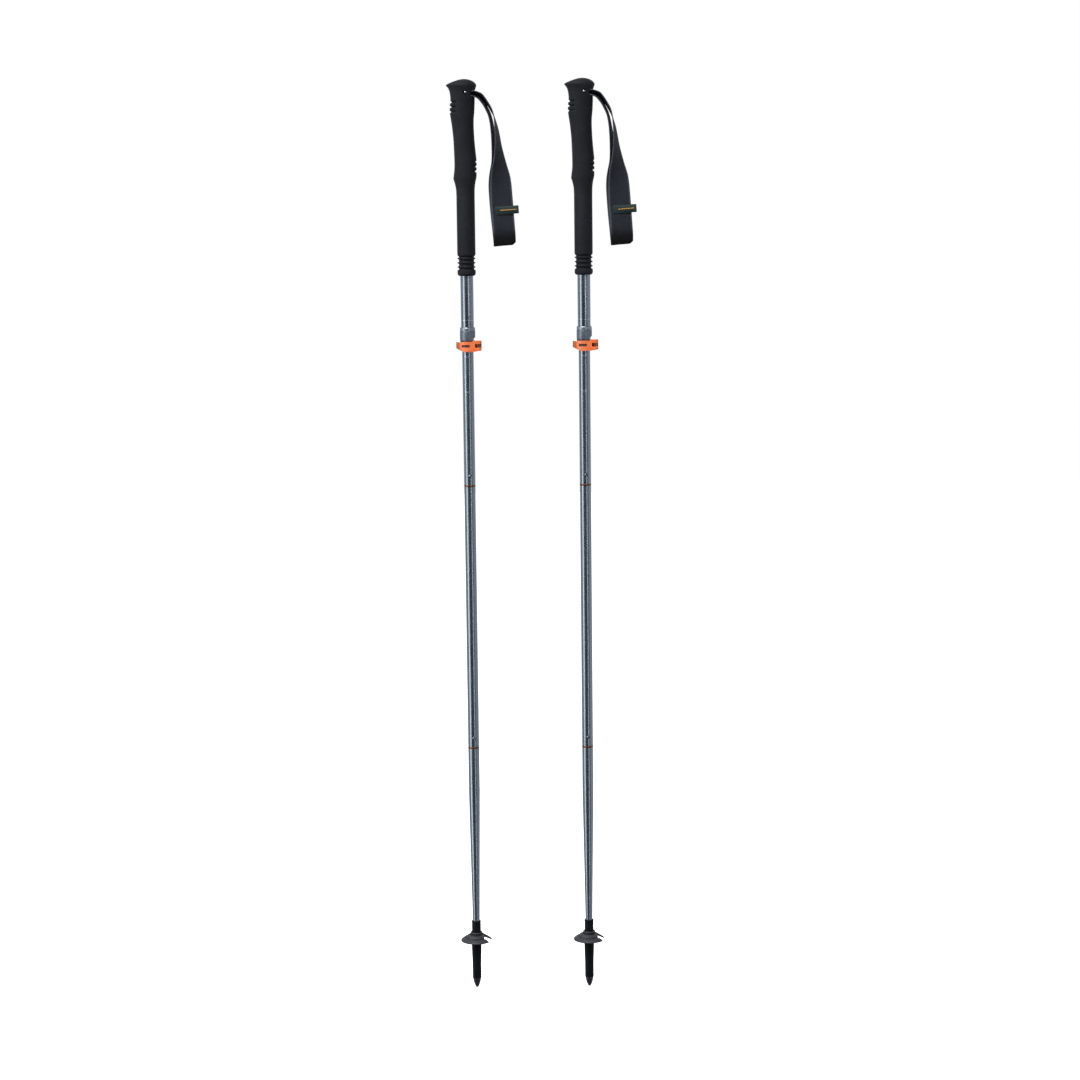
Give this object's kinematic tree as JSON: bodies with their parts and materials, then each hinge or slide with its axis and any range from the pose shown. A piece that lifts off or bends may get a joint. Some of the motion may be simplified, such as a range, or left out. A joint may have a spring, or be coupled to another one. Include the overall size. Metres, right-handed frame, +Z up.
{
  "type": "trekking poles",
  "caption": "Adjustable folding trekking poles: long grip with wrist strap, lever clamp for length, snap-button joints on a cord, umbrella basket, carbide point.",
  "frame": {"origin": "middle of the pair on the ground: the points touch z = 0 and the origin is the centre of the pair's box", "axes": "+Z up along both poles; +X from the left pole to the right one, the side that the wrist straps hang on; +Y away from the snap buttons and the lever's thumb side"},
  "size_m": [0.2626, 0.045, 1.3],
  "materials": {
    "head_rubber": "satin moulded rubber",
    "grip_foam": "fine-celled matte foam",
    "webbing": "tight nylon weave",
    "label": "woven label with one gold thread line",
    "steel": "bright, lightly brushed",
    "anodised_tube": "blue-grey satin anodised",
    "collar_plastic": "fine matte moulding",
    "band_plastic": "fine matte moulding",
    "lever_orange": "satin anodised orange",
    "ring_orange": "anodised dark orange",
    "spigot_metal": "plain satin aluminium",
    "cord": "braided sleeve",
    "tip_plastic": "hard semi-matte moulding",
    "ferrule_metal": "dark, lightly blasted",
    "carbide": "ground carbide",
    "basket_plastic": "fine moulded grain"
  },
  "bodies": {
    "left_handle": {"left_head_cap": "head_rubber", "left_grip": "grip_foam", "left_grip_extension": "grip_foam", "left_strap_pin": "steel", "left_strap_root": "webbing", "left_upper_tube": "anodised_tube", "left_collar": "collar_plastic", "left_clamp_band": "band_plastic", "left_tension_screw": "steel", "left_lever_pin": "steel", "left_barrel_nut": "steel"},
    "left_lever": {"left_clamp_lever": "lever_orange"},
    "left_strap": {"left_strap": "webbing", "left_strap_label": "label"},
    "left_shaft_a": {"left_shaft_a": "anodised_tube", "left_cord_anchor": "band_plastic", "left_cord_1": "cord"},
    "left_spigot_1": {"left_spigot_1": "spigot_metal"},
    "left_button_1": {"left_snap_button_1": "steel"},
    "left_shaft_b": {"left_shaft_b": "anodised_tube", "left_joint_ring_1": "ring_orange", "left_cord_2": "cord"},
    "left_spigot_2": {"left_spigot_2": "spigot_metal"},
    "left_button_2": {"left_snap_button_2": "steel"},
    "left_shaft_c": {"left_shaft_c": "anodised_tube", "left_joint_ring_2": "ring_orange", "left_tip_sleeve": "tip_plastic", "left_tip_ferrule": "ferrule_metal", "left_carbide_tip": "carbide"},
    "left_basket": {"left_basket": "basket_plastic"},
    "right_handle": {"right_head_cap": "head_rubber", "right_grip": "grip_foam", "right_grip_extension": "grip_foam", "right_strap_pin": "steel", "right_strap_root": "webbing", "right_upper_tube": "anodised_tube", "right_collar": "collar_plastic", "right_clamp_band": "band_plastic", "right_tension_screw": "steel", "right_lever_pin": "steel", "right_barrel_nut": "steel"},
    "right_lever": {"right_clamp_lever": "lever_orange"},
    "right_strap": {"right_strap": "webbing", "right_strap_label": "label"},
    "right_shaft_a": {"right_shaft_a": "anodised_tube", "right_cord_anchor": "band_plastic", "right_cord_1": "cord"},
    "right_spigot_1": {"right_spigot_1": "spigot_metal"},
    "right_button_1": {"right_snap_button_1": "steel"},
    "right_shaft_b": {"right_shaft_b": "anodised_tube", "right_joint_ring_1": "ring_orange", "right_cord_2": "cord"},
    "right_spigot_2": {"right_spigot_2": "spigot_metal"},
    "right_button_2": {"right_snap_button_2": "steel"},
    "right_shaft_c": {"right_shaft_c": "anodised_tube", "right_joint_ring_2": "ring_orange", "right_tip_sleeve": "tip_plastic", "right_tip_ferrule": "ferrule_metal", "right_carbide_tip": "carbide"},
    "right_basket": {"right_basket": "basket_plastic"}
  },
  "joints": [
    {"name": "left_length", "type": "slide", "parent": "left_handle", "child": "left_shaft_a", "axis": [0, 0, 1], "range_m": [0, 0.15]},
    {"name": "left_clamp_lever", "type": "hinge", "parent": "left_handle", "child": "left_lever", "pos_m": [-0.09135, -0.009, 0.9325], "axis": [0, 0, 1], "range_deg": [0, 120]},
    {"name": "left_strap_swing", "type": "hinge", "parent": "left_handle", "child": "left_strap", "pos_m": [-0.08815, 0, 1.2845], "axis": [0, -1, 0], "range_deg": [-4, 20]},
    {"name": "left_pull_1", "type": "slide", "parent": "left_shaft_a", "child": "left_spigot_1", "axis": [0, 0, -1], "range_m": [0, 0.045], "deforming": ["left_cord_1"]},
    {"name": "left_button_1", "type": "slide", "parent": "left_spigot_1", "child": "left_button_1", "axis": [0, 1, 0], "range_m": [0, 0.002], "stiffness_N_per_m": 800, "springref_m": -0.0005},
    {"name": "left_fold_1", "type": "hinge", "parent": "left_spigot_1", "child": "left_shaft_b", "pos_m": [-0.10635, 0.02, 0.7358], "axis": [1, 0, 0], "range_deg": [0, 180]},
    {"name": "left_pull_2", "type": "slide", "parent": "left_shaft_b", "child": "left_spigot_2", "axis": [0, 0, -1], "range_m": [0, 0.045], "deforming": ["left_cord_2"]},
    {"name": "left_button_2", "type": "slide", "parent": "left_spigot_2", "child": "left_button_2", "axis": [0, 1, 0], "range_m": [0, 0.002], "stiffness_N_per_m": 800, "springref_m": -0.0005},
    {"name": "left_fold_2", "type": "hinge", "parent": "left_spigot_2", "child": "left_shaft_c", "pos_m": [-0.10635, -0.02, 0.3578], "axis": [-1, 0, 0], "range_deg": [0, 180]},
    {"name": "left_basket_turn", "type": "hinge", "parent": "left_shaft_c", "child": "left_basket", "pos_m": [-0.10635, 0, 0.077], "axis": [0, 0, 1], "continuous": true},
    {"name": "right_length", "type": "slide", "parent": "right_handle", "child": "right_shaft_a", "axis": [0, 0, 1], "range_m": [0, 0.15]},
    {"name": "right_clamp_lever", "type": "hinge", "parent": "right_handle", "child": "right_lever", "pos_m": [0.07215, -0.009, 0.9325], "axis": [0, 0, 1], "range_deg": [0, 120]},
    {"name": "right_strap_swing", "type": "hinge", "parent": "right_handle", "child": "right_strap", "pos_m": [0.07535, 0, 1.2845], "axis": [0, -1, 0], "range_deg": [-4, 70]},
    {"name": "right_pull_1", "type": "slide", "parent": "right_shaft_a", "child": "right_spigot_1", "axis": [0, 0, -1], "range_m": [0, 0.045], "deforming": ["right_cord_1"]},
    {"name": "right_button_1", "type": "slide", "parent": "right_spigot_1", "child": "right_button_1", "axis": [0, 1, 0], "range_m": [0, 0.002], "stiffness_N_per_m": 800, "springref_m": -0.0005},
    {"name": "right_fold_1", "type": "hinge", "parent": "right_spigot_1", "child": "right_shaft_b", "pos_m": [0.05715, 0.02, 0.7358], "axis": [1, 0, 0], "range_deg": [0, 180]},
    {"name": "right_pull_2", "type": "slide", "parent": "right_shaft_b", "child": "right_spigot_2", "axis": [0, 0, -1], "range_m": [0, 0.045], "deforming": ["right_cord_2"]},
    {"name": "right_button_2", "type": "slide", "parent": "right_spigot_2", "child": "right_button_2", "axis": [0, 1, 0], "range_m": [0, 0.002], "stiffness_N_per_m": 800, "springref_m": -0.0005},
    {"name": "right_fold_2", "type": "hinge", "parent": "right_spigot_2", "child": "right_shaft_c", "pos_m": [0.05715, -0.02, 0.3578], "axis": [-1, 0, 0], "range_deg": [0, 180]},
    {"name": "right_basket_turn", "type": "hinge", "parent": "right_shaft_c", "child": "right_basket", "pos_m": [0.05715, 0, 0.077], "axis": [0, 0, 1], "continuous": true},
    {"name": "poles_apart", "type": "slide", "parent": "left_handle", "child": "right_handle", "axis": [1, 0, 0], "range_m": [0, 0.3]}
  ]
}
